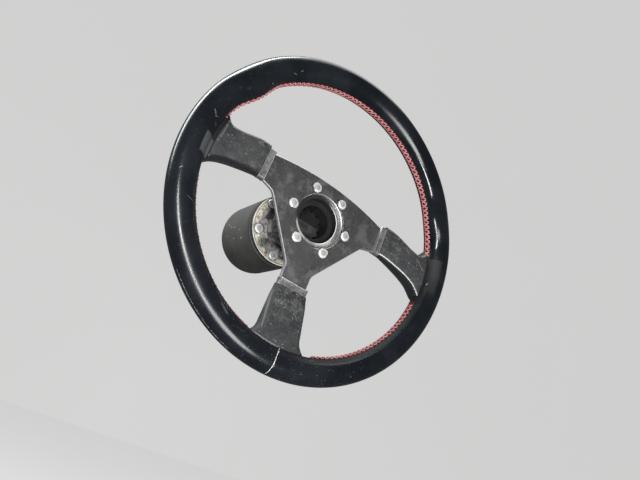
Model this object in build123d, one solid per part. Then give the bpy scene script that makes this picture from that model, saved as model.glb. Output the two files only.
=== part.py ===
from build123d import *
from collections import namedtuple
import math
import os

os.makedirs("parts", exist_ok=True)

# Steering wheel of a competition car, on its coupling and the end of its column.
# Millimetres. Modelled with the steering axis along Z and the driver at +Z ("out"),
# then turned so that the axis lies along Y, the driver is at -Y and the wheel's top at +Z.

# Column end, from the origin outwards
tube_r = 21.0            # outside radius of the column tube where its clamp grips
tube_shoulder = 1.5      # step that the shroud sits against
tube_wall = 4.0
tube_stub = 34.0         # bare tube behind the shroud
shroud_r = 44.6          # at its rear, before the rounding
shroud_over = 0.7        # its narrower front stands out past the flange
shroud_len = 98.0
shroud_wall = 3.0
shroud_rear_wall = 6.0
shroud_rear_round = 22.0
shroud_lip_round = 1.0
bush_len = 14.0
shaft_r = 10.5
shaft_end_r = 9.5        # thinner end that stands out behind the tube
shaft_end_len = 20.0
shaft_chamfer = 1.2
run_fit = 0.05           # radial clearance of the shaft in its bushes
face_gap = 1.5           # between the fixed shroud and the turning flange

# Boss flange and coupling
flange_r = 42.5
flange_t = 6.0
flange_lip = 2.0         # raised rim around the flange's front
flange_recess = 1.0
pcd_r = 35.0             # six screws on a 70 mm circle
screw_count = 6
screw_clear_r = 2.7
screw_tap_r = 2.3
flange_phase = 26.0      # the flange's screws against the wheel's, degrees
hub_r = 18.0
hub_len = 46.0           # splined hub in front of the flange
hub_foot_r = 24.0
hub_foot_t = 4.0
spline_count = 12
spline_depth = 2.0
socket_fit = 0.3
socket_wall = 4.2
socket_start = 15.0      # hub that shows bare behind the socket
collar_wall = 3.8
collar_len = 34.0
collar_chamfer = 0.8
grip_count = 24
grip_r = 1.6
grip_margin = 5.0
ring_r = 41.0
ring_t = 8.0
ring_bore_r = 24.0
socket_foot_r = 29.0     # the socket's own flange behind the ring
socket_foot_t = 3.0
standoff = 70.2          # from the flange's front to the back of the spoke plate

# Spoke plate
plate_t = 4.0
hub_hole_r = 28.3
plate_top = 43.5         # height of the top edge in the middle
arm_half = 15.8          # half width of a bare arm
upper_side = 19.1        # middle of the upper arms above the axis
band_start = 75.0        # distance out from the axis
band_len = 7.5
band_wall = 1.5          # beside the arm
band_front, band_back = 4.6, 5.0   # in front of and behind the plate's face
notch_x, notch_y = 60.8, -0.8      # corner between an upper arm and the lower edge
foot_x, foot_y = 16.2, -58.8       # corner between the lower edge and the bottom arm
plate_fillet = 11.0
plate_chamfer = 0.8      # bare edge around the front face and the hub hole
arm_bend = 86.0          # the arms start to rise here
arm_level = 10.0         # level stretch of an arm inside the rim
arm_stop = 6.8           # end of an arm short of the rim's middle line
arm_drop = 5.0           # its front behind the rim's middle plane
arm_inset = 3.2          # edge of an arm inside its cover

# Rim
rim_r = 153.8            # circle through the middle of the section
rim_dish = 19.0          # its plane in front of the plate's face
rim_long, rim_short = 14.7, 13.1   # half axes of the oval section
rim_lean = 35.0          # the front of the oval leans outwards, degrees
thumb_angle = 28.5       # middle of a thumb rest above the wheel's middle line, degrees
thumb_half = 14.0
thumb_swell = 6.8
thumb_steps = 6

# Spoke covers: share of the way from the band to the rim, and the section there: its side offset
# as a share of the arm's, its width as a share of the arm's and its thickness as a share of cover_t
Station = namedtuple("Station", "way side wide thick")
cover_t = 18.0           # where it is thickest
cover_round = 0.9        # corner radius as a share of half the thickness
upper_cover = [Station(0, 1.07, 1.20, 0.62), Station(0.2, 0.94, 1.22, 0.78), Station(0.4, 0.73, 1.20, 0.89),
               Station(0.6, 0.50, 1.19, 0.98), Station(0.8, 0.31, 1.37, 1.00), Station(1, 0.37, 2.15, 0.98)]
bottom_cover = [Station(0, 0, 1.18, 0.62), Station(0.2, 0, 1.29, 0.78), Station(0.4, 0, 1.36, 0.89),
                Station(0.6, 0, 1.43, 0.98), Station(0.8, 0, 1.57, 1.00), Station(1, 0, 2.22, 0.98)]
cover_low = 0.2          # middle of a cover's section in front of the plate at the band
cover_drop = 6.4         # and behind the rim's middle plane at the rim
cover_stop = 11.3        # end of a cover short of the rim's middle line

# Stations along the axis
shroud_front = tube_stub + shroud_len
flange_back = shroud_front + face_gap
flange_front = flange_back + flange_t
plate_back = flange_front + standoff
plate_front = plate_back + plate_t
ring_back = plate_back - ring_t
rim_out = plate_front + rim_dish
cover_start = band_start + band_len
cover_end = rim_r - cover_stop
cover_high = rim_dish - cover_drop
arm_end = rim_r - arm_stop
arm_rise = rim_dish - arm_drop


def disc(radius, start, end):
    return Pos(0, 0, start) * Cylinder(radius, end - start, align=(Align.CENTER, Align.CENTER, Align.MIN))


def tube(r_out, r_in, start, end):
    return disc(r_out, start, end) - disc(r_in, start - 1, end + 1)


def around(count, radius, phase=0.0):
    return [Rot(0, 0, phase + k * 360 / count) * Pos(radius, 0, 0) for k in range(count)]


def between(low, high, share):
    return low + (high - low) * share


def drilled(body, hole_r, start, end, phase=0.0):
    for place in around(screw_count, pcd_r, phase):
        body -= place * disc(hole_r, start, end)
    return body


# Fixed end of the column
seat_r = tube_r + tube_shoulder
tube_bore_r = tube_r - tube_wall
column_tube = tube(tube_r, tube_bore_r, 0, tube_stub) + tube(seat_r, tube_bore_r, tube_stub, shroud_front)
column_bushes = [tube(tube_bore_r, shaft_r + run_fit, start, start + bush_len)
                 for start in (0, shroud_front - bush_len)]


def bowl(inset, start, end):
    rear_r, front_r = shroud_r - inset, flange_r + shroud_over - inset
    body = Pos(0, 0, start) * Cone(rear_r, front_r, end - start, align=(Align.CENTER, Align.CENTER, Align.MIN))
    return fillet(body.edges().group_by(Axis.Z)[0], shroud_rear_round - inset)


column_shroud = bowl(0, tube_stub, shroud_front)
column_shroud -= bowl(shroud_wall, tube_stub + shroud_rear_wall, shroud_front + 1)
column_shroud -= disc(seat_r, tube_stub - 1, shroud_front + 1)
column_shroud = fillet(column_shroud.edges().group_by(Axis.Z)[-1].sort_by(SortBy.RADIUS)[-1], shroud_lip_round)

# Turning shaft and boss flange
steering_shaft = disc(shaft_end_r, -shaft_end_len, 0) + disc(shaft_r, 0, flange_back)
steering_shaft = chamfer(steering_shaft.edges().group_by(Axis.Z)[0], shaft_chamfer)

boss_flange = disc(flange_r, flange_back, flange_front)
boss_flange -= tube(flange_r - flange_lip, hub_foot_r, flange_front - flange_recess, flange_front + 1)
boss_flange = drilled(boss_flange, screw_clear_r, flange_back - 1, flange_front + 1, flange_phase)

# Coupling: splined hub, socket with its foot, ring behind the spoke plate, release collar
release_hub = disc(hub_r, flange_front, flange_front + hub_len)
release_hub += disc(hub_foot_r, flange_front, flange_front + hub_foot_t)
socket_back = flange_front + socket_start
for place in around(spline_count, hub_r):
    release_hub -= place * disc(spline_depth, socket_back - 1, flange_front + hub_len + 1)

socket_bore_r = hub_r + socket_fit
socket_r = socket_bore_r + socket_wall
wheel_socket = tube(socket_r, socket_bore_r, socket_back, ring_back)
wheel_socket += tube(socket_foot_r, socket_bore_r, ring_back - socket_foot_t, ring_back)
coupling_ring = drilled(tube(ring_r, ring_bore_r, ring_back, plate_back),
                        screw_tap_r, ring_back - 1, plate_back + 1)

collar_bore_r = socket_r
collar_r = collar_bore_r + collar_wall
collar_front = socket_back + collar_len
release_collar = tube(collar_r, collar_bore_r, socket_back, collar_front)
rims = release_collar.edges().filter_by(GeomType.CIRCLE)
release_collar = chamfer([e for e in rims if e.radius > collar_r - 0.1], collar_chamfer)
for place in around(grip_count, collar_r + grip_r / 4):
    release_collar -= place * disc(grip_r, socket_back + grip_margin, collar_front - grip_margin)


# Arms: flat in the plate, then rising to the rim, tapered in plan
def arm(side, stations):
    rows = [(band_start, side, arm_half)]
    for s in stations[1:-1]:
        rows.append((between(cover_start, cover_end, s.way), side * s.side, arm_half * s.wide - arm_inset))
    rows.append((arm_end, *rows[-1][1:]))
    plan = [(o, mid + wide) for o, mid, wide in rows] + [(o, mid - wide) for o, mid, wide in reversed(rows)]
    high = [(band_start, 0), (arm_bend, 0), (arm_end - arm_level, arm_rise), (arm_end, arm_rise)]
    profile = high + [(o, rise - plate_t) for o, rise in reversed(high)]
    risen = extrude(Plane.XZ * make_face(Polyline(profile, close=True)), arm_end, both=True)
    tapered = extrude(make_face(Polyline(plan, close=True)), arm_end, both=True)
    return Pos(0, 0, plate_front) * (risen & tapered)


to_bottom = Rot(0, 0, -90)
arms = {"right": arm(upper_side, upper_cover),
        "bottom": to_bottom * arm(0, bottom_cover)}
arms["left"] = mirror(arms["right"], Plane.YZ)

# Spoke plate: arched top edge, straight lower edges with rounded inside corners
top_end = upper_side + arm_half
half_edge = [(band_start, top_end), (band_start, upper_side - arm_half), (notch_x, notch_y),
             (foot_x, foot_y), (arm_half, -band_start)]
lower_edge = Polyline(half_edge + [(-x, y) for x, y in reversed(half_edge)])
top_edge = ThreePointArc((-band_start, top_end), (0, plate_top), (band_start, top_end))
outline = make_face([*lower_edge.edges(), top_edge])
plate = Pos(0, 0, plate_back) * extrude(outline, plate_t)
inside_corners = ((notch_x, notch_y), (foot_x, foot_y))
corners = [e for e in plate.edges().filter_by(Axis.Z)
           if min(math.dist((abs(e.center().X), e.center().Y), c) for c in inside_corners) < 0.01]
spoke_plate = fillet(corners, plate_fillet) - disc(hub_hole_r, plate_back - 1, plate_front + 1)
front_edges = spoke_plate.faces().sort_by(Axis.Z)[-1].edges()
bare_edges = [e for e in front_edges
              if abs(e.center().X) < band_start - 0.01 and e.center().Y > 0.01 - band_start]
spoke_plate = chamfer(bare_edges, plate_chamfer) + arms["right"] + arms["left"] + arms["bottom"]
spoke_plate = drilled(spoke_plate, screw_clear_r, plate_back - 1, plate_front + 1)


# Rim: an oval section that leans outwards at the front and swells inwards at the thumb rests
def rim_section(angle, swell=0.0):
    long_axis = 90 - rim_lean
    toward_thumb = (-math.sin(math.radians(long_axis)), math.cos(math.radians(long_axis)))
    centre = Pos(rim_r + toward_thumb[0] * swell / 2, rim_out + toward_thumb[1] * swell / 2)
    oval = Ellipse(rim_long, rim_short + swell / 2, rotation=long_axis)
    return Rot(0, 0, angle) * (Plane.XZ * (centre * oval))


def thumb_rest(start, end):
    sections = []
    for k in range(thumb_steps + 1):
        share = k / thumb_steps
        swell = thumb_swell * (1 - math.cos(2 * math.pi * share)) / 2
        sections.append(rim_section(start + (end - start) * share, swell))
    return loft(sections)


thumb_low, thumb_high = thumb_angle - thumb_half, thumb_angle + thumb_half
thumb_right = thumb_rest(thumb_low, thumb_high)
rim_leather = revolve(rim_section(thumb_high), Axis.Z, revolution_arc=180 - 2 * thumb_high)
rim_leather += revolve(rim_section(180 - thumb_low), Axis.Z, revolution_arc=180 + 2 * thumb_low)
rim_leather += thumb_right + mirror(thumb_right, Plane.YZ)
for inner in arms.values():
    rim_leather -= inner


# Spoke covers from the bands to the rim, and the bands
def cover(side, stations):
    sections = []
    for s in stations:
        out, lift = between(cover_start, cover_end, s.way), between(cover_low, cover_high, s.way)
        wide, thick = 2 * arm_half * s.wide, cover_t * s.thick
        place = Plane((out, side * s.side, plate_front + lift), x_dir=(0, 1, 0), z_dir=(1, 0, 0))
        sections.append(place * RectangleRounded(wide, thick, cover_round * thick / 2))
    return loft(sections)


def band(side):
    middle = plate_front + (band_front - band_back) / 2
    place = Plane((band_start, side, middle), x_dir=(0, 1, 0), z_dir=(1, 0, 0))
    outer = RectangleRounded(2 * (arm_half + band_wall), band_front + band_back, band_wall)
    return extrude(place * outer, band_len)


covers = {"right": cover(upper_side, upper_cover), "bottom": to_bottom * cover(0, bottom_cover)}
bands = {"right": band(upper_side), "bottom": to_bottom * band(0)}
covers["left"] = mirror(covers["right"], Plane.YZ)
bands["left"] = mirror(bands["right"], Plane.YZ)

nodes = {"column_tube": column_tube, "column_bushes": column_bushes, "column_shroud": column_shroud,
         "steering_shaft": steering_shaft, "boss_flange": boss_flange, "release_hub": release_hub,
         "release_collar": release_collar, "wheel_socket": wheel_socket, "coupling_ring": coupling_ring,
         "spoke_plate": spoke_plate, "rim_leather": rim_leather}
for name in arms:
    cut = covers[name] - arms[name] - rim_leather
    nodes["spoke_cover_" + name] = cut.solids().sort_by(SortBy.VOLUME)[-1]
    nodes["spoke_band_" + name] = bands[name] - spoke_plate

to_part = Rot(90, 0, 0)
for name, shape in nodes.items():
    pieces = shape if isinstance(shape, list) else [shape]
    solids = [to_part * solid for piece in pieces for solid in piece.solids()]
    export_step(solids[0] if len(solids) == 1 else Compound(solids), "parts/%s.step" % name)
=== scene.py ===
import bmesh
import bpy
from math import atan2, ceil, cos, degrees, floor, hypot, pi, radians, sin
from mathutils import Matrix, Vector


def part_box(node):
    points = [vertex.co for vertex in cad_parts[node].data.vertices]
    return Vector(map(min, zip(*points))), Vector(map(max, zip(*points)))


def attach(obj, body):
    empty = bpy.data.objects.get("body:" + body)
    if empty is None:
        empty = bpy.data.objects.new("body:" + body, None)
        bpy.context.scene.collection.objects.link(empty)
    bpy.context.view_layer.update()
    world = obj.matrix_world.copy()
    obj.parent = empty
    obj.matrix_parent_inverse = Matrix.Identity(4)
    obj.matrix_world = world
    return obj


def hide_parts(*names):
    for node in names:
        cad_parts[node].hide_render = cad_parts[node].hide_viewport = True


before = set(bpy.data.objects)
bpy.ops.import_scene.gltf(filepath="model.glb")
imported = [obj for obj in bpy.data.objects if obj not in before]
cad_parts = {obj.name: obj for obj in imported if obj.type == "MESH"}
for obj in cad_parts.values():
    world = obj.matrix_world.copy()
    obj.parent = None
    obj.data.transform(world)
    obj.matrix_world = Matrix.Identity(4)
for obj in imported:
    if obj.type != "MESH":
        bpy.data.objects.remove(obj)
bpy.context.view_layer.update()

# Wheel of a competition car. Metres, +Z up, the steering axis along Y and the driver at -Y.
mm = 0.001

# Stations along the axis and along the right arm, from the solids
PLATE_T = 4 * mm
PLATE_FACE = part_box("coupling_ring")[0][1] - PLATE_T
FLANGE_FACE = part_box("boss_flange")[0][1]
COVER_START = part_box("spoke_cover_right")[0][0]
band_low, band_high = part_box("spoke_band_right")
BAND_START, BAND_FRONT, BAND_BACK = band_low[0], band_low[1], band_high[1]
BAND_MIDDLE_Z, BAND_HALF = (band_low[2] + band_high[2]) / 2, (band_high[2] - band_low[2]) / 2
BAND_LEN = COVER_START - BAND_START

# Rim: the oval section and its thumb rests
RIM_R = 153.8 * mm
RIM_OUT = 19.0 * mm                     # in front of the plate's face
RIM_LONG, RIM_SHORT = 14.7 * mm, 13.1 * mm
RIM_LEAN = radians(35)
THUMB_MIDDLE, THUMB_HALF = 28.5, 14.0   # degrees above the middle line
THUMB_SWELL = 6.8 * mm
RIM_SIDES, RIM_STEPS = 96, 360

# Cross stitching along the inner line of the rim
STITCHES_ROUND = 155
STITCH_STEP = 360 / STITCHES_ROUND
STITCH_HALF = 4.2 * mm                  # half width of the seam
STITCH_SKEW = 0.35                      # holes of the two edges lie this share of a step apart
STITCH_BOWS = (0.1, 0.8)                # how far the lower and the upper threads bow out, in radii
SEAM_DIP, SEAM_DIP_HALF = 0.7 * mm, 3.4 * mm
SEAM_RUNS = ((9.5, 170.5, 0), (193, 256, 5), (284, 348, 0))   # from, to, degrees further to the rear

# Joint where the leather's two ends meet
JOINT_ANGLE = 268.5
JOINT_SLANT, SLANT_FROM = 2.3 / 58, 60  # the joint slants past this way round the section
JOINT_WAY_FROM, JOINT_WAY_TO = -36, 126
JOINT_START, JOINT_STITCH = 0.1, 0.3    # radians from the inner line to the first hole, and to the next
JOINT_STITCHES = 9

# Threads: their radius, and how they lie in shares of it
THREAD_R, JOINT_THREAD_R = 0.8 * mm, 0.32 * mm
THREAD_WIDE, THREAD_FLAT = 1.15, 0.7    # half width and half height once laid
THREAD_SINK, THREAD_RISE = 1.2, 1.5     # depth of the ends, and rise of the middle above them
THREAD_SIDES = 8
THREAD_CUTS = (-0.36, -0.2, 0, 0.2, 0.36)       # shares of the length, from its middle

# Screws
SCREW_CIRCLE = 35 * mm
SCREW_COUNT = 6
FLANGE_PHASE = 26                       # degrees from the wheel's screws to the flange's
SCREW_HEAD_R, SCREW_HEAD_H = 5.6 * mm, 2.9 * mm
SCREW_SIDES, DOME_SHARE, DOME_STEPS, DOME_SHAPE = 32, 0.9, 8, 0.55
SOCKET_R, SOCKET_DEEP = 2.0 * mm, 1.1 * mm

# Camera, fitted to the six screws, the hub hole and the rim
CAMERA_AT = (-0.20629, PLATE_FACE - 0.42186, -0.20489)
CAMERA_RIGHT = (0.76295, -0.54406, 0.34915)
CAMERA_UP = (-0.48838, -0.13124, 0.86271)
FOCAL_PIXELS, FRAME_PIXELS = 485.99, 640
SENSOR = 36
CLIP_START = 10 * mm

# Floor, wall and room
FLOOR_Z, STAGE_WIDE = -0.7, 30
BACKDROP_Y, BACKDROP_HIGH, BACKDROP_BEND, BEND_STEPS = 3.5, 14, 1.5, 24
BACKDROP_GLOW = 0.56
ROOM_SHADE = (0.95, 0.97, 1)
ROOM_LIGHT, ROOM_SEEN = 0.12, 0.75      # how strongly the room lights the wheel, and how the camera sees it

# Lamps: name, place, length, width, power, shade and roll in degrees
OVER_THE_LENS = Vector(CAMERA_AT) + Vector(CAMERA_RIGHT) * 5 * mm + Vector(CAMERA_UP) * 50 * mm
LAMPS = (("front_light", OVER_THE_LENS, 0.40, 0.05, 3.5, (1, 1, 1), 42),
         ("low_light", (0.03, PLATE_FACE - 0.70, -0.42), 0.38, 0.38, 6.5, (1, 1, 1), 0),
         ("side_light", (-0.72, PLATE_FACE + 0.40, 0.74), 1.8, 0.34, 20, (0.93, 1, 0.97), 0),
         ("top_light", (0.1, -0.1, 1.5), 1.2, 1.2, 8, (1, 1, 1), 0))


# Modelling by hand
def deselect():
    bpy.ops.object.select_all(action="DESELECT")


def started(name):
    piece = bpy.context.object
    piece.name = piece.data.name = name
    return piece


def edit(piece):
    deselect()
    bpy.context.view_layer.objects.active = piece
    piece.select_set(True)
    bpy.ops.object.mode_set(mode="EDIT")


def leave():
    bpy.ops.object.mode_set(mode="OBJECT")


def pick(piece, kind, wanted):
    """Selects the faces or the edges that a test wants."""
    shell = bmesh.from_edit_mesh(piece.data)
    bpy.ops.mesh.select_all(action="DESELECT")
    for part in getattr(shell, kind):
        part.select_set(wanted(part))
    shell.select_flush_mode()
    bmesh.update_edit_mesh(piece.data)


def middle_of(edge):
    return (edge.verts[0].co + edge.verts[1].co) / 2


def tidy(piece, angle=35, merge=0.001 * mm):
    """Merges doubles, turns the faces outwards and smooths all but the edges sharper than an angle."""
    edit(piece)
    bpy.ops.mesh.select_all(action="SELECT")
    bpy.ops.mesh.remove_doubles(threshold=merge)
    bpy.ops.mesh.normals_make_consistent(inside=False)
    leave()
    bpy.ops.object.transform_apply(location=True, rotation=True, scale=True)
    bpy.ops.object.shade_smooth_by_angle(angle=radians(angle))
    return piece


def hollowed(piece, tool):
    """Cuts a tool's shape out of a piece and removes the tool."""
    modifier = piece.modifiers.new("Hollow", "BOOLEAN")
    modifier.operation, modifier.solver, modifier.object = "DIFFERENCE", "EXACT", tool
    deselect()
    bpy.context.view_layer.objects.active = piece
    piece.select_set(True)
    bpy.ops.object.modifier_apply(modifier=modifier.name)
    bpy.data.objects.remove(tool)
    return piece


def placed(piece, matrix):
    """Moves the mesh itself, so that the object stays at the origin."""
    piece.data.transform(matrix)
    piece.data.update()
    return piece


def copied(piece, matrix, name):
    twin = piece.copy()
    twin.data = piece.data.copy()
    twin.name = twin.data.name = name
    bpy.context.collection.objects.link(twin)
    return placed(twin, matrix)


def mirrored(piece, name):
    return tidy(copied(piece, Matrix.Scale(-1, 4, (1, 0, 0)), name), angle=60)


def joined(pieces, name):
    deselect()
    for piece in pieces:
        piece.select_set(True)
    bpy.context.view_layer.objects.active = pieces[0]
    bpy.ops.object.join()
    return started(name)


def turn(angle):
    """Turns about the steering axis, anticlockwise as the driver sees it."""
    return Matrix.Rotation(-radians(angle), 4, "Y")


# Rim section: a way of 0 is the outer front end, 90 degrees the inner front side
def thumb_share(angle):
    from_middle = degrees(atan2(sin(radians(angle)), abs(cos(radians(angle))))) - THUMB_MIDDLE
    return (1 + cos(pi * from_middle / THUMB_HALF)) / 2 if abs(from_middle) < THUMB_HALF else 0.0


def section_point(angle, way, lift=0.0):
    """The point of the leather at an angle round the wheel and a way round the section."""
    swell = THUMB_SWELL * thumb_share(angle)
    wide = RIM_SHORT + swell / 2
    along, across = RIM_LONG * cos(way), wide * sin(way)
    steep = hypot(cos(way) / RIM_LONG, sin(way) / wide)
    along += lift * cos(way) / RIM_LONG / steep
    across += lift * sin(way) / wide / steep + swell / 2
    radius = RIM_R + along * sin(RIM_LEAN) - across * cos(RIM_LEAN)
    out = RIM_OUT + along * cos(RIM_LEAN) + across * sin(RIM_LEAN)
    around = radians(angle)
    return Vector((radius * cos(around), PLATE_FACE - out, radius * sin(around)))


INNER_WAY = atan2(RIM_SHORT * cos(RIM_LEAN), -RIM_LONG * sin(RIM_LEAN))
WAY_PER_METRE = 1 / hypot(RIM_LONG * sin(INNER_WAY), RIM_SHORT * cos(INNER_WAY))


def rim_wrap():
    """The leather rim: an oval spun round the axis, with its thumb rests and the seam's dip."""
    bpy.ops.mesh.primitive_circle_add(vertices=RIM_SIDES, radius=1)
    piece = started("rim_wrap")
    edit(piece)
    bpy.ops.mesh.select_all(action="SELECT")
    bpy.ops.transform.resize(value=(RIM_SHORT, RIM_LONG, 1), center_override=(0, 0, 0))
    bpy.ops.transform.rotate(value=-RIM_LEAN, orient_axis="Z", center_override=(0, 0, 0))
    bpy.ops.transform.translate(value=(RIM_R, PLATE_FACE - RIM_OUT, 0))
    bpy.ops.mesh.spin(steps=RIM_STEPS, angle=2 * pi, center=(0, 0, 0), axis=(0, 1, 0))
    leave()
    tidy(piece)
    press_thumb_rests(piece)
    sink_seams(piece)
    return piece


def section_of(point):
    """Angle round the wheel, and place in the section along its long and short axis."""
    angle = degrees(atan2(point.z, point.x)) % 360
    radius, out = hypot(point.x, point.z) - RIM_R, PLATE_FACE - point.y - RIM_OUT
    along = radius * sin(RIM_LEAN) + out * cos(RIM_LEAN)
    across = out * sin(RIM_LEAN) - radius * cos(RIM_LEAN)
    return angle, along, across


def press_thumb_rests(piece):
    for vertex in piece.data.vertices:
        angle, along, across = section_of(vertex.co)
        if thumb_share(angle) > 0:
            vertex.co = section_point(angle, atan2(across / RIM_SHORT, along / RIM_LONG))


def sink_seams(piece):
    """The leather dips between its laced edges."""
    for vertex in piece.data.vertices:
        angle, along, across = section_of(vertex.co)
        swell = THUMB_SWELL * thumb_share(angle)
        way = atan2((across - swell / 2) / (RIM_SHORT + swell / 2), along / RIM_LONG)
        off_seam = abs(way - INNER_WAY) / WAY_PER_METRE
        if off_seam < SEAM_DIP_HALF:
            vertex.co = section_point(angle, way, -SEAM_DIP * (1 - (off_seam / SEAM_DIP_HALF) ** 2))


def thread():
    """A round thread of radius 1 and length 1 along Z, cut across so that it can bow."""
    bpy.ops.mesh.primitive_cylinder_add(vertices=THREAD_SIDES, radius=1, depth=1, end_fill_type="NGON")
    piece = started("thread")
    edit(piece)
    for height in THREAD_CUTS:
        bpy.ops.mesh.select_all(action="SELECT")
        bpy.ops.mesh.bisect(plane_co=(0, 0, height), plane_no=(0, 0, 1))
    leave()
    return piece


def lay(strand, radius, start, end, bow):
    """Lays a thread from one place (angle, way) on the rim to another, its ends down in the leather."""
    ahead = section_point(*end) - section_point(*start)
    for vertex in strand.data.vertices:
        share = vertex.co.z + 0.5
        angle, way = (a + (b - a) * share for a, b in zip(start, end))
        arch = 1 - (2 * share - 1) ** 6
        lift = bow * sin(pi * share) + radius * (THREAD_RISE * arch - THREAD_SINK)
        up = (section_point(angle, way, 1 * mm) - section_point(angle, way)).normalized()
        side = ahead.cross(up).normalized()
        aside, above = vertex.co.x * radius * THREAD_WIDE, vertex.co.y * radius * THREAD_FLAT
        vertex.co = section_point(angle, way, lift) + side * aside + up * above


def laid_threads(pattern, places, name, radius, bows):
    """Copies of the thread between pairs of places on the rim, with the bows given in turn."""
    strands = []
    for number, (start, end) in enumerate(places):
        strand = copied(pattern, Matrix.Identity(4), "strand")
        lay(strand, radius, start, end, radius * bows[number % len(bows)])
        strands.append(strand)
    return tidy(joined(strands, name), angle=60, merge=0)


def cross_stitches(pattern):
    """Two crossing threads a step, between the laced edges."""
    reach = STITCH_HALF * WAY_PER_METRE
    places = []
    for low, high, back in SEAM_RUNS:
        front, rear = INNER_WAY + radians(back) - reach, INNER_WAY + radians(back) + reach
        for k in range(ceil(low / STITCH_STEP), floor(high / STITCH_STEP)):
            angle = k * STITCH_STEP
            skewed = angle + STITCH_SKEW * STITCH_STEP
            places.append(((angle, front), (skewed + STITCH_STEP, rear)))
            places.append(((skewed, rear), (angle + STITCH_STEP, front)))
    return laid_threads(pattern, places, "cross_stitches", THREAD_R, STITCH_BOWS)


def joint_thread(pattern):
    """The white thread that closes the wrap, from the inner side over the front."""
    stitches = [INNER_WAY - JOINT_START - JOINT_STITCH * k for k in range(JOINT_STITCHES + 1)]
    holes = [(JOINT_ANGLE + JOINT_SLANT * max(degrees(way) - SLANT_FROM, 0), way) for way in stitches]
    return laid_threads(pattern, zip(holes, holes[1:]), "joint_thread", JOINT_THREAD_R, (0,))


# Spoke covers, in even steps from the band to the rim: side offset in shares of ARM_SIDE, half width in
# shares of ARM_HALF, and half thickness in shares of COVER_HALF_T
ARM_SIDE, ARM_HALF, COVER_HALF_T = 19.1 * mm, 15.8 * mm, 9.0 * mm
UPPER_COVER = ((1.07, 1.20, 0.62), (0.94, 1.22, 0.78), (0.73, 1.20, 0.89),
               (0.50, 1.19, 0.98), (0.31, 1.37, 1.00), (0.37, 2.15, 0.98))
BOTTOM_COVER = ((0, 1.18, 0.62), (0, 1.29, 0.78), (0, 1.36, 0.89),
                (0, 1.43, 0.98), (0, 1.57, 1.00), (0, 2.22, 0.98))
COVER_LOW, COVER_HIGH = 0.2 * mm, 12.6 * mm     # middle of the section in front of the plate
COVER_LEN = 60 * mm
COVER_ROUND = 0.9                       # corner radius as a share of the half thickness
COVER_STEPS, CORNER_STEPS = 30, 10

# Band: share of its length, and mm that its section stands out there
BAND_PROFILE = ((0, -0.25), (0.03, 0), (0.10, 0), (0.17, -0.35),
                (0.83, -0.35), (0.90, 0), (0.97, 0), (1, -0.25))
BAND_CORNER, BAND_CORNER_STEPS = 2.2 * mm, 8

# Covers and bands are drawn out along +Z and then turned to their arm
TO_RIGHT = Matrix.Translation((0, PLATE_FACE, 0)) @ Matrix.Rotation(radians(90), 4, "Y")
TO_BOTTOM = Matrix.Translation((0, PLATE_FACE, 0)) @ Matrix.Rotation(radians(180), 4, "Y")


def along_table(table, share):
    """The row of a table at a share of its way, on a smooth curve through its rows."""
    spot = share * (len(table) - 1)
    k = min(int(spot), len(table) - 2)
    t = spot - k
    before, here, there, after = (table[min(max(n, 0), len(table) - 1)] for n in (k - 1, k, k + 1, k + 2))
    row = []
    for a, b, c, d in zip(before, here, there, after):
        row.append(b + t * ((c - a) + t * (2 * a - 5 * b + 4 * c - d + t * (3 * b - a - 3 * c + d))) / 2)
    return row


def cover_section(table, share):
    """Middle point, half width and half thickness of a cover's section."""
    side, half, thick = along_table(table, share)
    lift = COVER_LOW + (COVER_HIGH - COVER_LOW) * share
    middle = Vector((-side * ARM_SIDE, -lift, COVER_START + COVER_LEN * share))
    return middle, half * ARM_HALF, thick * COVER_HALF_T


def rounded_plane(name, half, thick, corner, steps):
    """A flat section with round corners, left open for editing: X is to the side, Y away from the driver."""
    bpy.ops.mesh.primitive_plane_add(size=2)
    piece = started(name)
    edit(piece)
    bpy.ops.mesh.select_all(action="SELECT")
    bpy.ops.transform.resize(value=(half, thick, 1), center_override=(0, 0, 0))
    bpy.ops.mesh.bevel(offset=corner, segments=steps, affect="VERTICES")
    return piece


def spoke_cover(name, table, placing):
    """A padded sleeve that widens from the band into the rim."""
    middle, half, thick = cover_section(table, 0)
    piece = rounded_plane(name, half, thick, thick * COVER_ROUND, CORNER_STEPS)
    bpy.ops.transform.translate(value=middle)
    for k in range(1, COVER_STEPS + 1):
        following, new_half, new_thick = cover_section(table, k / COVER_STEPS)
        bpy.ops.mesh.extrude_region_move(TRANSFORM_OT_translate={"value": following - middle})
        bpy.ops.transform.resize(value=(new_half / half, new_thick / thick, 1), center_override=following)
        middle, half, thick = following, new_half, new_thick
    leave()
    return placed(tidy(piece, angle=60), placing)


def spoke_band(name, side, placing):
    """A sleeve with a raised bead along each edge."""
    front, back = PLATE_FACE - BAND_FRONT, BAND_BACK - PLATE_FACE
    half, thick = BAND_HALF, (front + back) / 2
    middle = Vector((-side, (back - front) / 2, BAND_START))
    piece = rounded_plane(name, half, thick, BAND_CORNER, BAND_CORNER_STEPS)
    bpy.ops.transform.translate(value=middle)
    now = BAND_PROFILE[0][1] * mm
    bpy.ops.transform.resize(value=(1 + now / half, 1 + now / thick, 1), center_override=middle)
    for share, step in BAND_PROFILE[1:]:
        move = BAND_START + share * BAND_LEN - middle.z
        middle.z += move
        bpy.ops.mesh.extrude_region_move(TRANSFORM_OT_translate={"value": (0, 0, move)})
        wider, thicker = ((size + step * mm) / (size + now) for size in (half, thick))
        bpy.ops.transform.resize(value=(wider, thicker, 1), center_override=middle)
        now = step * mm
    leave()
    return placed(tidy(piece, angle=40), placing)


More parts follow.
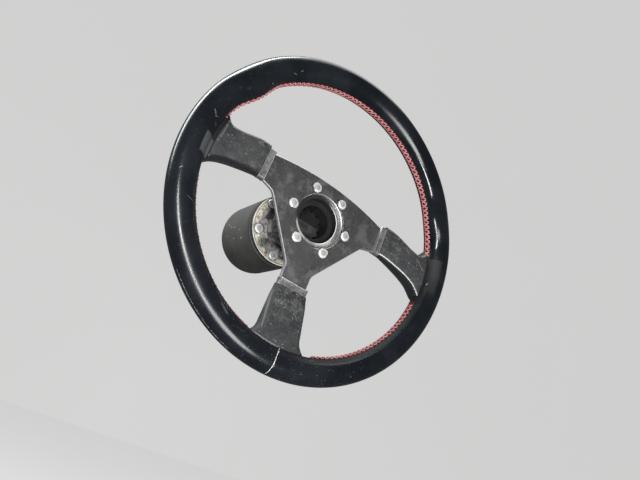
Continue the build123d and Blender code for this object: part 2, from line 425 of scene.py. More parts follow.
def screw_head():
    """A domed head with a hexagon socket, on the XZ plane and standing out to -Y."""
    bpy.ops.mesh.primitive_cylinder_add(vertices=SCREW_SIDES, radius=SCREW_HEAD_R, depth=SCREW_HEAD_H,
                                        location=(0, 0, SCREW_HEAD_H / 2))
    piece = started("screw_head")
    bpy.ops.object.transform_apply(location=True)
    edit(piece)
    pick(piece, "faces", lambda face: face.normal.z > 0.9)
    dome = SCREW_HEAD_H * DOME_SHARE
    bpy.ops.mesh.bevel(offset=dome, segments=DOME_STEPS, profile=DOME_SHAPE, affect="EDGES")
    leave()
    bpy.ops.mesh.primitive_cylinder_add(vertices=6, radius=SOCKET_R, depth=2 * SOCKET_DEEP,
                                        location=(0, 0, SCREW_HEAD_H))
    socket = started("socket")
    tidy(hollowed(piece, socket), angle=30)
    return placed(piece, Matrix.Rotation(radians(90), 4, "X"))


# Finishes
class Value:
    """A socket that takes part in sums."""
    def __init__(self, nodes, socket):
        self.nodes, self.socket = nodes, socket

    def maths(self, operation, *terms):
        return self.nodes.node("ShaderNodeMath", {"operation": operation}, terms)

    def __add__(self, other):
        return self.maths("ADD", self, other)

    def __sub__(self, other):
        return self.maths("SUBTRACT", self, other)

    def __rsub__(self, other):
        return self.maths("SUBTRACT", other, self)

    def __mul__(self, other):
        return self.maths("MULTIPLY", self, other)

    def __truediv__(self, other):
        return self.maths("DIVIDE", self, other)

    def __gt__(self, other):
        return self.maths("GREATER_THAN", self, other)

    def __lt__(self, other):
        return self.maths("LESS_THAN", self, other)

    def __pow__(self, other):
        return self.maths("POWER", self, other)

    def __abs__(self):
        return self.maths("ABSOLUTE", self)

    def larger(self, other):
        return self.maths("MAXIMUM", self, other)

    def smaller(self, other):
        return self.maths("MINIMUM", self, other)

    def fraction(self):
        return self.maths("FRACT", self)

    def angle_over(self, other):
        """The angle in degrees whose tangent is this over the other."""
        return self.maths("ARCTAN2", self, other) / PER_DEGREE

    __radd__, __rmul__ = __add__, __mul__


class Nodes:
    """The shader nodes of a material or a world."""
    def __init__(self, owner):
        owner.use_nodes = True
        self.owner, self.tree = owner, owner.node_tree
        self.tree.nodes.clear()

    def node(self, kind, settings=(), inputs=(), out=0):
        """A node of any kind: its settings first, then the values or links of its sockets."""
        node = self.tree.nodes.new(kind)
        for key, value in dict(settings).items():
            setattr(node, key, value)
        sockets = inputs.items() if isinstance(inputs, dict) else enumerate(inputs)
        for key, value in sockets:
            if isinstance(value, Value):
                self.tree.links.new(value.socket, node.inputs[key])
            else:
                node.inputs[key].default_value = value
        return Value(self, node.outputs[out]) if node.outputs else None


class Finish(Nodes):
    """A material made of nodes."""
    def __init__(self, name):
        super().__init__(bpy.data.materials.new(name))
        self.at = self.node("ShaderNodeTexCoord", out="Object")

    def noise(self, scale, detail=3, roughness=0.5, at=None):
        return self.node("ShaderNodeTexNoise", {}, {"Vector": at or self.at, "Scale": scale, "Detail": detail,
                                                    "Roughness": roughness})

    def cells(self, scale, feature="F1"):
        return self.node("ShaderNodeTexVoronoi", {"feature": feature}, {"Vector": self.at, "Scale": scale},
                         "Distance")

    def ease(self, value, low, high, start=0.0, end=1.0):
        """start below low, end above high and a smooth way between."""
        return self.node("ShaderNodeMapRange", {"interpolation_type": "SMOOTHSTEP"},
                         (value, low, high, start, end))

    def block(self, value, low, high, soft):
        """1 from low to high, with soft ends."""
        return self.ease(value, low - soft, low + soft) * self.ease(value, high + soft, high - soft)

    def line(self, offset, outer, inner):
        """1 where an offset to either side is under inner, 0 past outer."""
        return self.ease(abs(offset), outer, inner)

    def patches(self, scale, detail, roughness, low, high, start=0.0, end=1.0):
        """Noise made into patches: start where it is below low, end above high."""
        return self.ease(self.noise(scale, detail, roughness), low, high, start, end)

    def dots(self, scale, outer, inner):
        """Round dots, one to each cell of a pattern."""
        return self.ease(self.cells(scale), outer, inner)

    def mix(self, share, first, second):
        return self.node("ShaderNodeMix", {"data_type": "RGBA"},
                         {0: share, 6: colour(first), 7: colour(second)}, 2)

    def parts(self, vector=None):
        node = self.node("ShaderNodeSeparateXYZ", {}, (vector or self.at,))
        return [Value(self, socket) for socket in node.socket.node.outputs]

    def places(self):
        """x, y, z and the distance from the steering axis."""
        x, y, z = self.parts()
        return x, y, z, (x * x + z * z) ** 0.5

    def facing(self):
        """The parts of the surface's normal; y is -1 where it faces the driver."""
        return self.parts(self.node("ShaderNodeNewGeometry", out="Normal"))

    def done(self, base, roughness, metallic=0.0, height=None, depth=0.1 * mm, strength=1.0, specular=0.5,
             coat=0.0, coat_roughness=0.1, **fixed):
        inputs = {"Base Color": colour(base), "Roughness": roughness, "Metallic": metallic,
                  "Specular IOR Level": specular, "Coat Weight": coat, "Coat Roughness": coat_roughness}
        if height is not None:
            inputs["Normal"] = self.node("ShaderNodeBump", {}, {"Strength": strength, "Distance": depth,
                                                                "Height": height})
        inputs.update(fixed)
        shader = self.node("ShaderNodeBsdfPrincipled", {}, inputs)
        self.node("ShaderNodeOutputMaterial", {}, {"Surface": shader})
        return self.owner


def colour(shade):
    """A shade for a colour socket: a value, a grey as one number, or red, green and blue."""
    if isinstance(shade, Value):
        return shade
    if isinstance(shade, (int, float)):
        return (shade, shade, shade, 1)
    return (*shade, 1)


PER_DEGREE = radians(1)
MM_PER_ANGLE = RIM_R / mm * PER_DEGREE            # along the rim
MM_PER_WAY = PER_DEGREE / WAY_PER_METRE / mm      # round its section


def rim_places(f):
    """Angle round the wheel and way round the section, in degrees, and the height above the section."""
    x, y, z, from_axis = f.places()
    radial, out = from_axis - RIM_R, PLATE_FACE - RIM_OUT - y
    along = (radial * sin(RIM_LEAN) + out * cos(RIM_LEAN)) / RIM_LONG
    across = (out * sin(RIM_LEAN) - radial * cos(RIM_LEAN)) / RIM_SHORT
    height = (along * along + across * across) ** 0.5 * RIM_SHORT - RIM_SHORT
    return z.angle_over(x), across.angle_over(along), height


# Nicks and scuffs: angle and way in degrees, half length and half width in mm, tilt, strength
RIM_MARKS = (
    (130.5, 62, 2.0, 0.40, 20, 0.40), (133.5, 72, 2.4, 0.40, 150, 0.40), (145.8, 83, 1.5, 0.50, 10, 0.40),
    (173.6, 48, 3.4, 0.50, 50, 0.35), (174.4, 62, 2.6, 0.40, 130, 0.30), (176.5, 80, 3.0, 0.35, 60, 0.22),
    (196.3, 13, 2.2, 0.35, 120, 0.70), (205.5, 60, 5.0, 0.30, 60, 0.25), (243.5, 62, 8.0, 1.60, 170, 0.12),
    (357.8, 93, 2.2, 0.45, -35, 1.00))

# Rubbed patches and the frayed line: angles of their ends, and ways where they fade, in degrees
LEFT_RUB, LEFT_RUB_WAYS = (180.6, 188.4), (58, 64)
RIGHT_RUB_START, RIGHT_RUB_END, RIGHT_RUB_WAYS = (-9, -3), (10.7, 9.9), (38, 58)
FRAYED_FROM, FRAYED_TO, FRAYED_WAY = 226, 254, -36
SPECKED_FROM, SPECKED_TO = 250, 312

# Shinier and duller stretches of the rim: from and to, within 180 degrees either way, soft ends and
# change of roughness
SHINE = ((22, 60, 12, -0.08), (0, 13, 3, 0.10), (-140, -110, 6, 0.07))

# The right cover's leather laps over the rim as far out as this radius, between two heights
LAP_R, LAP_Z = 141.3 * mm, (-32 * mm, -4 * mm)


def rim_marks(f, angle, way, uneven):
    """Two shares: the nicks and scuffs, and the frayed line with the specks at the bottom."""
    scuffs = 0
    for at_angle, at_way, long_half, wide_half, tilt, strength in RIM_MARKS:
        ahead, aside = (angle - at_angle) * MM_PER_ANGLE, (way - at_way) * MM_PER_WAY
        c, s = cos(radians(tilt)), sin(radians(tilt))
        p, q = (ahead * c + aside * s) / long_half, (aside * c - ahead * s) / wide_half
        scuffs = f.ease(p * p + q * q, 1, 0.4) * strength * 0.75 + scuffs
    frayed = f.block(angle, FRAYED_FROM, FRAYED_TO, 1) * f.patches(420, 4, 0.7, 0.42, 0.56)
    frayed = frayed * f.line((way - FRAYED_WAY + uneven) * MM_PER_WAY, 0.7, 0.25)
    specks = f.dots(430, 0.16, 0.08) * f.block(angle, SPECKED_FROM, SPECKED_TO, 14)
    specks = specks * f.patches(70, 3, 0.5, 0.42, 0.6)
    return scuffs, frayed * 0.7 + specks * 0.35


def seam_shade_shares(f, angle, way):
    """Two shares: the seam's painted shade, near black at its puckered edges and dark red under the lacing,
    and the lacing alone.
    """
    off_seam = (way - degrees(INNER_WAY)) * MM_PER_WAY
    lacing = f.line(off_seam, 4.4, 3.4)
    sewn = 0
    for low, high, _ in SEAM_RUNS:
        sewn = f.block(angle, low, high, 0.5) + sewn
    pucker_shade = 0
    for side, skew in ((-1, 0), (1, STITCH_SKEW)):
        along = ((angle / STITCH_STEP - skew).fraction() - 0.5) * STITCH_STEP * MM_PER_ANGLE
        aside = off_seam - side * (STITCH_HALF / mm + 0.5)
        pucker_shade = f.ease(along * along + aside * aside, 2.4, 0.8) + pucker_shade
    return sewn * pucker_shade.larger(lacing).smaller(1), lacing


def joint_share(f, angle, way):
    """The dark groove between the leather's two ends."""
    slant = (way - SLANT_FROM).larger(0) * JOINT_SLANT
    groove = f.line((angle - JOINT_ANGLE - slant) * MM_PER_ANGLE, 1.3, 0.6)
    return groove * f.block(way, JOINT_WAY_FROM, JOINT_WAY_TO, 2)


def worn_leather():
    """Smooth, shiny black leather with rubbed patches, scuffs and dust, and painted shade in the seam's
    lacing and at its puckered edges.
    """
    f = Finish("worn_leather")
    half_angle, way, _ = rim_places(f)      # from -180 to 180 degrees
    angle = half_angle + (half_angle < 0) * 360
    wear = f.noise(20, 4, 0.6)
    uneven = f.noise(260, 4, 0.7) * 5 - 2.5
    dust = f.patches(150, 4, 0.75, 0.58, 0.74) * 0.3
    base = f.mix(f.ease(wear, 0.35, 0.7), (0.0038, 0.0050, 0.0066), (0.0082, 0.0102, 0.0126))
    base = f.mix(dust, base, (0.035, 0.036, 0.038))
    rough = f.ease(wear, 0.3, 0.75, 0.17, 0.27) + dust * 0.2

    left_rub = f.block(angle + uneven * 0.3, *LEFT_RUB, 0.4) * f.ease(way + uneven, *LEFT_RUB_WAYS)
    right_rub = f.ease(half_angle, *RIGHT_RUB_START) * f.ease(half_angle + uneven * 0.1, *RIGHT_RUB_END)
    right_rub = right_rub * f.ease(way, *RIGHT_RUB_WAYS)
    rubbed = left_rub.larger(right_rub * 0.5)
    under_right = f.block(half_angle, -74, -4, 3) * f.ease(way, 76, 92)
    base = f.mix(left_rub, base, f.mix(f.noise(400, 4), (0.028, 0.030, 0.032), (0.060, 0.062, 0.064)))
    base = f.mix(right_rub * f.ease(way, 112, 60, 0.4, 1), base, (0.0165, 0.0172, 0.018))
    for start, end, soft, change in SHINE:
        rough = rough + f.block(half_angle, start, end, soft) * change
    rough = rough + (rubbed + under_right) * 0.3

    scuffs, fine_marks = rim_marks(f, angle, way, uneven)
    base = f.mix((scuffs + fine_marks).smaller(1), base, (0.34, 0.35, 0.36))

    x, _, z, from_axis = f.places()
    beside = (x > 0) * f.block(z, *LAP_Z, 1.5 * mm)
    lap = f.ease(from_axis, LAP_R + 0.3 * mm, LAP_R - 0.3 * mm) * beside
    lap_edge = f.line(from_axis - LAP_R, 0.8 * mm, 0.3 * mm) * beside
    base = f.mix(lap, base, f.mix(f.noise(95, 6, 0.75), (0.004, 0.0044, 0.0048), (0.013, 0.0135, 0.0142)))
    base = f.mix(lap_edge * 0.8, base, (0.002, 0.002, 0.0025))
    rough = rough + lap * 0.26

    seam, lacing = seam_shade_shares(f, angle, way)
    joint = joint_share(f, angle, way)
    # Painted shade: the seam is darkened, dark red under the lacing and near black at its puckered edges
    # between the threads.
    base = f.mix(seam * 0.9, base, f.mix(lacing, (0.0015, 0.0012, 0.0014), (0.10, 0.018, 0.022)))
    base = f.mix(joint * 0.95, base, 0.001)
    grain, pores = f.cells(1100, "SMOOTH_F1"), f.noise(2600, 2)
    height = grain * 0.45 + pores * 0.3 - seam * 6 - joint * 14 - rubbed * grain * 0.3 + scuffs * 2
    return f.done(base, rough + seam * 0.3, 0.0, height, 0.05 * mm, 0.28, specular=0.35)


# Creases pressed into the covers and painted pale as a highlight: a point (x, z), direction in degrees and
# half length, in mm
COVER_CREASES = ((-21.0, -109, 88, 22), (-133.5, 14, 87, 9), (131, 14, -40, 9), (26.5, -128, 75, 10))

# The rim's leather laps over the left cover from this radius on, above this height, and is rubbed
# between two heights
FOLD_R, FOLD_Z, FOLD_RUB = 137 * mm, -30 * mm, (-18 * mm, 0.5 * mm)
RIDGE_Z = -70 * mm                      # above it the covers' upper edges carry a pale painted highlight
FOOT_X, FOOT_Z = (2 * mm, -6 * mm), (-90 * mm, -110 * mm)       # where the bottom cover's foot is pale


def crease_lines(f, x, z):
    lines = 0
    for at_x, at_z, direction, half in COVER_CREASES:
        c, s = cos(radians(direction)), sin(radians(direction))
        off_x, off_z = x / mm - at_x, z / mm - at_z
        along, aside = off_x * c + off_z * s, off_x * s - off_z * c
        lines = f.line(aside, 1.0, 0.3) * f.line(along, half, half - 3) + lines
    return lines


def dusty_cover():
    """Matt black leather under dust and polished underneath, with a pale painted highlight along the upper
    edges and creases, and painted shade on the sides and underneath.
    """
    f = Finish("dusty_cover")
    x, _, z, from_axis = f.places()
    _, ahead, up = f.facing()
    _, _, above_rim = rim_places(f)
    front = f.ease(ahead, -0.6, -0.95)
    under = f.ease(up, -0.12, -0.4)
    blotches = f.noise(38, 6, 0.68)
    fine = f.noise(420, 4, 0.75)
    specks = f.dots(330, 0.2, 0.1) * f.patches(60, 3, 0.5, 0.42, 0.55)
    outward = f.ease(abs(x).larger(abs(z)), COVER_START, COVER_START + COVER_LEN)
    smears = f.patches(95, 6, 0.75, 0.50, 0.62) * f.ease(outward, 0, 1, 0.7, 0.3)
    base = f.mix(f.ease(blotches, 0.38, 0.62), (0.0075, 0.0085, 0.0097), (0.0245, 0.0255, 0.0265))
    base = f.mix(smears, base, (0.075, 0.075, 0.073))
    base = f.mix(f.ease(fine, 0.48, 0.7, 0, 0.45), base, (0.085, 0.085, 0.083))
    base = f.mix(outward * 0.45, base, (0.012, 0.0125, 0.0135))
    base = f.mix(specks * 0.7, base, (0.30, 0.30, 0.29))
    # Painted shade: faces that turn away from the driver, the sides and the underside, are darkened.
    base = f.mix(1 - front, base, (0.010, 0.0105, 0.0115))
    # Painted highlight: a pale, patchy band on the upper edges where they face up and towards the driver.
    ridge_highlight = f.block(up, 0.35, 0.8, 0.12) * f.ease(ahead, -0.3, -0.6) * (z > RIDGE_Z)
    ridge_highlight = ridge_highlight * f.patches(120, 4, 0.5, 0.3, 0.55, 0.3, 1)
    base = f.mix(ridge_highlight * 0.75, base, (0.19, 0.19, 0.188))
    crease_and_highlight = crease_lines(f, x, z)
    # Painted highlight: the creases are painted pale, and they are also pressed in as bumps.
    base = f.mix(crease_and_highlight * 0.5, base, 0.11)

    left_end = (x < 0) * (z > FOLD_Z)
    tucked = f.ease(from_axis, FOLD_R - 0.3 * mm, FOLD_R + 0.3 * mm) * left_end
    fold = f.line(from_axis - FOLD_R, 0.9 * mm, 0.4 * mm) * left_end
    rubbed = f.block(z + f.noise(260, 4, 0.7) * 4 * mm, *FOLD_RUB, 0.5 * mm)
    base = f.mix(tucked, base, f.mix(rubbed, (0.0035, 0.0043, 0.0055), (0.035, 0.036, 0.038)))
    base = f.mix(fold, base, (0.002, 0.002, 0.0025))
    edge = f.ease(above_rim, 1.1 * mm, 0.4 * mm) * (1 - tucked)
    foot = f.ease(z, *FOOT_Z) * f.ease(x, *FOOT_X)
    base = f.mix(edge, base, f.mix(foot, (0.004, 0.004, 0.0045), 0.15))
    rough = (f.ease(blotches, 0.3, 0.7, 0.6, 0.78) * (1 - under) + under * 0.25) * (1 - tucked * 0.3)
    height = fine * (1 - under) + specks + crease_and_highlight * 8 - edge * 5 - fold * 10
    return f.done(base, rough, 0.0, height, 0.1 * mm, 0.5, coat=under * 0.65, coat_roughness=0.22)


def band_metal():
    """Dull, dusty grey sleeves, brighter along both edges."""
    f = Finish("band_metal")
    x, _, z = f.parts()
    out = abs(x).larger(abs(z)) - BAND_START
    edge = f.ease(out, 1.0 * mm, 0.5 * mm) + f.ease(out, BAND_LEN - 1.0 * mm, BAND_LEN - 0.5 * mm)
    streaks = f.noise(260, 4, 0.65)
    dust = f.patches(90, 5, 0.7, 0.45, 0.68)
    base = f.mix(f.ease(streaks, 0.3, 0.7), (0.055, 0.055, 0.056), 0.12)
    base = f.mix(dust * 0.6, base, (0.20, 0.198, 0.192))
    base = f.mix(edge * f.ease(streaks, 0.3, 0.5, 0.35, 0.9), base, (0.42, 0.42, 0.41))
    return f.done(base, 0.5, edge * 0.6 + 0.2, streaks, 0.05 * mm, 0.4)


WITNESS_R = 30.6 * mm                   # faint mark of a part that sat round the hub hole


def blackened_plate():
    """Matt black faces with dust and smudges, and bare bright edges."""
    f = Finish("blackened_plate")
    x, _, z, from_axis = f.places()
    _, ahead, _ = f.facing()
    edge = abs(ahead) < 0.9
    cloud = f.noise(24, 5, 0.62)
    fine = f.noise(430, 4, 0.75)
    smudges = f.patches(62, 6, 0.72, 0.49, 0.62)
    specks = f.dots(260, 0.15, 0.07) * f.patches(45, 3, 0.5, 0.46, 0.58)
    base = f.mix(f.ease(cloud, 0.35, 0.68), (0.0165, 0.017, 0.0175), (0.029, 0.0295, 0.030))
    base = f.mix(smudges * 0.6, base, (0.082, 0.081, 0.078))
    base = f.mix(f.ease(fine, 0.46, 0.7, 0, 0.5), base, (0.060, 0.060, 0.059))
    base = f.mix(specks * 0.4, base, 0.2)
    right = f.ease(x - z * 0.2, 8 * mm, 16 * mm)
    witness = f.line(from_axis - WITNESS_R, 0.7 * mm, 0.3 * mm) * right * f.patches(200, 3, 0.5, 0.36, 0.5)
    base = f.mix(witness * 0.7, base, 0.26)
    base = f.mix(edge, base, f.mix(f.noise(180, 4, 0.6), (0.42, 0.42, 0.43), (0.78, 0.78, 0.79)))
    rough = f.ease(cloud, 0.3, 0.7, 0.52, 0.66) * (1 - edge) + edge * 0.34
    return f.done(base, rough, edge * 0.9, fine, 0.05 * mm, 0.3)


RING_BORE_R = 24 * mm


def bare_ring():
    """The ring behind the hub hole: silver on its face towards the lower right, lighter below the middle and
    along the bore's edge on the right, with painted shade that turns it black on the upper left and in the
    bore.
    """
    f = Finish("bare_ring")
    x, _, z, from_axis = f.places()
    _, ahead, _ = f.facing()
    cloud = f.noise(90, 5, 0.6)
    to_lower_right = (x * 0.75 - z * 0.66) / from_axis
    unshaded_face = f.ease(to_lower_right + cloud * 0.4 - 0.2, -0.62, -0.15) * f.ease(ahead, -0.5, -0.9)
    low = f.ease(z, 0, -18 * mm) * f.ease(cloud, 0.35, 0.6, 0.4, 1)
    bore_edge = f.ease(from_axis, RING_BORE_R + 1.4 * mm, RING_BORE_R + 0.8 * mm) * f.ease(x, 4 * mm, 16 * mm)
    base = f.mix(low, (0.13, 0.13, 0.128), (0.42, 0.41, 0.38))
    base = f.mix(bore_edge, base, (0.72, 0.72, 0.71))
    # Painted shade: the ring is black wherever it is not towards the lower right and facing the driver.
    base = f.mix(unshaded_face, 0.008, base)
    return f.done(base, f.ease(cloud, 0.3, 0.7, 0.4, 0.55), unshaded_face * 0.5, cloud, 0.05 * mm, 0.3)


# Radii on the flange in mm, those of grime, bits and shadow as pairs between which they fade
FLANGE_R = (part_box("boss_flange")[1][0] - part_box("boss_flange")[0][0]) / 2 / mm
RESIDUE_FROM, RESIDUE_TO, LIP_FROM = 34.5, FLANGE_R - 2.0, FLANGE_R - 1.1
GRIME_ENDS, BITS_ENDS, SHADOW_ENDS = (39.5, 38), (37, 35), (31, 28)


def stained_flange():
    """Bare aluminium with a bright lip, a ring of yellow-brown residue and grime further in, a painted shadow
    over its upper middle and painted shade on its side wall.
    """
    f = Finish("stained_flange")
    _, _, z, from_axis = f.places()
    _, ahead, _ = f.facing()
    radius = from_axis / mm
    cloud = f.noise(75, 6, 0.7)
    ring = f.block(radius + f.noise(120, 3) * 4 - 2, RESIDUE_FROM, RESIDUE_TO, 1.2)
    grime = f.patches(85, 6, 0.72, 0.44, 0.60) * f.ease(radius, *GRIME_ENDS, 0, 0.85)
    groove = f.block(radius, LIP_FROM - 0.7, LIP_FROM - 0.3, 0.2)
    lip = f.ease(radius, LIP_FROM - 0.2, LIP_FROM + 0.1) * f.ease(abs(ahead), 0.2, 0.45)
    shadow = f.ease(radius, *SHADOW_ENDS) * f.ease(z, -1 * mm, 2 * mm)
    bits = f.dots(160, 0.22, 0.12) * f.ease(radius, *BITS_ENDS) * (1 - shadow)
    residue = f.mix(f.patches(130, 6, 0.8, 0.36, 0.60), (0.22, 0.165, 0.085), (0.80, 0.76, 0.66))
    base = f.mix(f.ease(cloud, 0.32, 0.66), (0.10, 0.10, 0.095), (0.36, 0.355, 0.34))
    base = f.mix(ring * f.ease(cloud, 0.30, 0.5, 0.4, 1), base, residue)
    base = f.mix(grime, base, (0.022, 0.021, 0.020))
    base = f.mix(groove * 0.8, base, (0.03, 0.029, 0.027))
    base = f.mix(lip * f.ease(cloud, 0.3, 0.55, 0.55, 1), base, (0.80, 0.78, 0.71))
    base = f.mix(shadow * 0.9, base, 0.006)
    base = f.mix(bits * 0.8, base, (0.42, 0.42, 0.40))
    # Painted shade: the side wall, which turns away from the driver, is darkened.
    base = f.mix(f.ease(abs(ahead), 0.4, 0.15), base, (0.05, 0.05, 0.048))
    height = cloud + f.noise(300, 4, 0.7) * ring
    return f.done(base, f.ease(cloud, 0.3, 0.7, 0.4, 0.62), 0.3, height, 0.25 * mm, 0.6)


def greasy_hub():
    """Greased steel, dark grey, with a painted shadow that makes it black above, and bare where the grease is
    cleaned off at its foot.
    """
    f = Finish("greasy_hub")
    _, y, z = f.parts()
    cloud = f.noise(110, 5, 0.7)
    foot = f.ease(y, FLANGE_FACE - 9 * mm, FLANGE_FACE - 4 * mm)
    grey = f.mix(f.ease(cloud, 0.35, 0.65), (0.030, 0.032, 0.032), (0.055, 0.057, 0.056))
    # Painted shadow: the hub is black above the middle, and keeps its grey below.
    base = f.mix(f.ease(z, 3 * mm, 1.5 * mm), (0.010, 0.010, 0.0105), grey)
    base = f.mix(foot, base, f.mix(f.ease(cloud, 0.4, 0.6), (0.05, 0.05, 0.048), (0.34, 0.335, 0.32)))
    return f.done(base, f.ease(cloud, 0.3, 0.7, 0.34, 0.55), 0.5, cloud, 0.1 * mm, 0.5)


def speckled_plastic():
    """The shroud's black plastic, faded and chipped, with a painted shadow of the flange that darkens it
    towards its open front.
    """
    f = Finish("speckled_plastic")
    x, y, z = f.parts()
    # Painted shadow of the flange: darkest close to the open front, reaching further back on the upper left.
    lip = f.ease(y + (x - z) * 0.12, FLANGE_FACE + 14 * mm, FLANGE_FACE + 5 * mm)
    chips = f.dots(120, 0.11, 0.07) * f.patches(34, 2, 0.5, 0.42, 0.50)
    specks = f.dots(190, 0.13, 0.07) * f.patches(60, 3, 0.5, 0.48, 0.58)
    base = f.mix(f.patches(26, 4, 0.6, 0.3, 0.7), 0.036, (0.072, 0.070, 0.065))
    base = f.mix(f.patches(340, 4, 0.75, 0.46, 0.7, 0, 0.5), base, (0.085, 0.083, 0.079))
    base = f.mix(lip * 0.75, base, 0.012)
    base = f.mix(specks * 0.6, base, (0.24, 0.24, 0.23))
    base = f.mix(chips, base, (0.6, 0.6, 0.57))
    return f.done(base, 0.6, 0.0, f.noise(800, 2) - chips, 0.1 * mm, 0.4)


def turned(name, dark, light, rough, metallic):
    """Metal with the fine rings of a lathe round the steering axis."""
    f = Finish(name)
    stretched = f.node("ShaderNodeVectorMath", {"operation": "MULTIPLY"}, (f.at, (0.04, 1, 0.04)))
    rings = f.noise(900, 2, 0.5, stretched)
    base = f.mix(f.ease(rings, 0.35, 0.65), dark, light)
    return f.done(base, f.ease(rings, 0.3, 0.7, rough - 0.06, rough + 0.08), metallic, rings, 0.03 * mm, 0.4)


def faded_thread():
    """Red thread, faded in patches, pink where it stands out of the seam, and darkened with painted shade
    where it sinks into the leather.
    """
    f = Finish("faded_thread")
    _, _, height = rim_places(f)
    fibres = f.noise(2200, 3, 0.7)
    fade = f.patches(60, 4, 0.6, 0.35, 0.65)
    low = f.mix(fade, (0.13, 0.018, 0.022), (0.2, 0.035, 0.04))
    high = f.mix(fade, (0.33, 0.105, 0.108), (0.42, 0.18, 0.175))
    # Painted shade: the thread is dark red where it lies below the leather's surface, and pink where it
    # stands out.
    base = f.mix(f.ease(height, -0.2 * mm, 0.8 * mm), low, high)
    base = f.mix(f.ease(fibres, 0.52, 0.75, 0, 0.4), base, (0.60, 0.36, 0.35))
    return f.done(base, 0.8, 0.0, fibres, 0.15 * mm, 0.6)


def white_thread():
    f = Finish("white_thread")
    fibres = f.noise(2500, 3, 0.7)
    base = f.mix(f.ease(fibres, 0.35, 0.7), (0.34, 0.34, 0.32), (0.66, 0.65, 0.62))
    return f.done(base, 0.75, 0.0, fibres, 0.1 * mm, 0.6)


def screw_steel():
    """Bright domed heads, with painted shade on their sides, on the socket's walls and floor, and on the flat
    top round the socket.
    """
    f = Finish("screw_steel")
    _, ahead, _ = f.facing()
    cloud = f.noise(300, 4, 0.6)
    base = f.mix(f.ease(cloud, 0.35, 0.7), (0.50, 0.50, 0.49), (0.70, 0.70, 0.685))
    # Painted shade: the head's side and the socket's walls, which turn away from the driver, are darkened.
    base = f.mix(f.ease(ahead, -0.5, -0.15), base, 0.10)
    # Painted shade: the flat faces that look straight at the driver, the socket's floor and the flat top
    # round it, are made grey.
    base = f.mix(f.ease(ahead, -0.99, -0.998) * 0.6, base, 0.25)
    return f.done(base, f.ease(cloud, 0.3, 0.7, 0.34, 0.5), 0.35, cloud, 0.03 * mm, 0.4)


def pale_backdrop():
    f = Finish("pale_backdrop")
    base = f.mix(f.patches(1.5, 3, 0.5, 0.3, 0.7), (0.50, 0.50, 0.495), (0.52, 0.52, 0.515))
    return f.done(base, 0.8, **{"Emission Color": colour((1, 1, 0.99)), "Emission Strength": BACKDROP_GLOW})


def dress(piece, material):
    piece.data.materials.clear()
    piece.data.materials.append(material)
    return piece


def added(piece, material, slot, *nodes):
    """A piece that turns with the wheel, in its material and in place of the nodes that it shows; the slot is
    not used.
    """
    dress(piece, material)
    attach(piece, "wheel")
    if nodes:
        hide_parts(*nodes)


# Camera, room, lamps and floor
def set_camera():
    camera = bpy.data.objects.new("camera", bpy.data.cameras.new("camera"))
    bpy.context.collection.objects.link(camera)
    right, up = Vector(CAMERA_RIGHT), Vector(CAMERA_UP)
    back = right.cross(up)
    rows = [(right[k], up[k], back[k], CAMERA_AT[k]) for k in range(3)] + [(0, 0, 0, 1)]
    camera.matrix_world = Matrix(rows)
    camera.data.sensor_width = SENSOR
    camera.data.lens = SENSOR * FOCAL_PIXELS / FRAME_PIXELS
    camera.data.clip_start = CLIP_START
    bpy.context.scene.camera = camera


def set_backdrop():
    """One sheet: the floor and, far behind the wheel, a wall with a rounded bend between."""
    bpy.ops.mesh.primitive_plane_add(size=STAGE_WIDE, location=(0, BACKDROP_Y - STAGE_WIDE / 2, FLOOR_Z))
    sheet = started("backdrop")
    bpy.ops.object.transform_apply(location=True)
    edit(sheet)
    at_wall = BACKDROP_Y - mm
    pick(sheet, "edges", lambda edge: middle_of(edge).y > at_wall)
    bpy.ops.mesh.extrude_region_move(TRANSFORM_OT_translate={"value": (0, 0, BACKDROP_HIGH)})
    pick(sheet, "edges", lambda edge: middle_of(edge).y > at_wall and middle_of(edge).z < FLOOR_Z + mm)
    bpy.ops.mesh.bevel(offset=BACKDROP_BEND, segments=BEND_STEPS, affect="EDGES")
    leave()
    bpy.ops.object.shade_smooth_by_angle(angle=radians(60))
    sheet.visible_glossy = sheet.visible_diffuse = False
    dress(sheet, pale_backdrop())


def set_room():
    """A pale room that the camera sees brighter than it lights the wheel."""
    room = Nodes(bpy.data.worlds.new("pale_room"))
    seen = room.node("ShaderNodeLightPath", out="Is Camera Ray")
    strength = room.node("ShaderNodeMapRange", {}, (seen, 0, 1, ROOM_LIGHT, ROOM_SEEN))
    background = room.node("ShaderNodeBackground", {}, {"Color": colour(ROOM_SHADE), "Strength": strength})
    room.node("ShaderNodeOutputWorld", {}, {"Surface": background})
    bpy.context.scene.world = room.owner
    bpy.context.scene.view_settings.view_transform = "Standard"


def soft_light(name, at, length, width, power, shade, roll):
    """A round or oval lamp that faces the wheel's middle."""
    lamp = bpy.data.objects.new(name, bpy.data.lights.new(name, "AREA"))
    bpy.context.collection.objects.link(lamp)
    lamp.data.shape = "ELLIPSE"
    lamp.data.size, lamp.data.size_y = width, length
    lamp.data.energy, lamp.data.color = power, shade
    lamp.location = at
    lamp.rotation_euler = (Vector((0, PLATE_FACE, 0)) - Vector(at)).to_track_quat("-Z", "Y").to_euler()
    lamp.rotation_euler.rotate_axis("Z", radians(roll))
    lamp.visible_camera = False


set_camera()
set_backdrop()
set_room()
for lamp in LAMPS:
    soft_light(*lamp)
deselect()

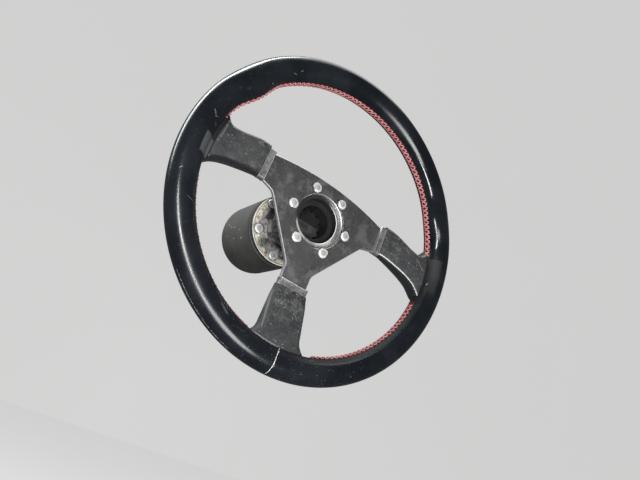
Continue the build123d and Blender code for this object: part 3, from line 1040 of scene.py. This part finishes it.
finishes = {
    "spoke_plate": blackened_plate(),
    "coupling_ring": bare_ring(),
    "wheel_socket": turned("socket_black", 0.004, 0.010, 0.5, 0.2),
    "boss_flange": stained_flange(),
    "release_hub": greasy_hub(),
    "release_collar": turned("collar_black", (0.014, 0.014, 0.015), (0.035, 0.035, 0.037), 0.42, 0.3),
    "steering_shaft": turned("bare_steel", 0.3, (0.55, 0.55, 0.54), 0.32, 0.95),
    "column_tube": turned("black_steel", 0.012, 0.03, 0.45, 0.3),
    "column_bushes": turned("brass", (0.42, 0.29, 0.1), (0.62, 0.45, 0.18), 0.3, 0.95),
    "column_shroud": speckled_plastic()}
for node, material in finishes.items():
    dress(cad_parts[node], material)

added(rim_wrap(), worn_leather(), "rim_leather", "rim_leather")
pattern = thread()
added(cross_stitches(pattern), faded_thread(), "rim_leather")
added(joint_thread(pattern), white_thread(), "rim_leather")
bpy.data.objects.remove(pattern)

right_cover = spoke_cover("spoke_cover_piece_right", UPPER_COVER, TO_RIGHT)
covers = {"right": right_cover, "left": mirrored(right_cover, "spoke_cover_piece_left"),
          "bottom": spoke_cover("spoke_cover_piece_bottom", BOTTOM_COVER, TO_BOTTOM)}
right_band = spoke_band("spoke_band_piece_right", BAND_MIDDLE_Z, TO_RIGHT)
bands = {"right": right_band, "left": mirrored(right_band, "spoke_band_piece_left"),
         "bottom": spoke_band("spoke_band_piece_bottom", 0, TO_BOTTOM)}
cover_finish, band_finish = dusty_cover(), band_metal()
for arm in ("right", "left", "bottom"):
    added(covers[arm], cover_finish, "spoke_cover", "spoke_cover_" + arm)
    added(bands[arm], band_finish, "band_grey", "spoke_band_" + arm)

head, steel = screw_head(), screw_steel()
for name, face, phase in (("wheel_screw", PLATE_FACE, 0), ("flange_screw", FLANGE_FACE, FLANGE_PHASE)):
    for k in range(SCREW_COUNT):
        place = turn(phase + k * 360 / SCREW_COUNT) @ Matrix.Translation((SCREW_CIRCLE, face, 0))
        added(copied(head, place, "%s_%d" % (name, k + 1)), steel, "bare_steel")
bpy.data.objects.remove(head)
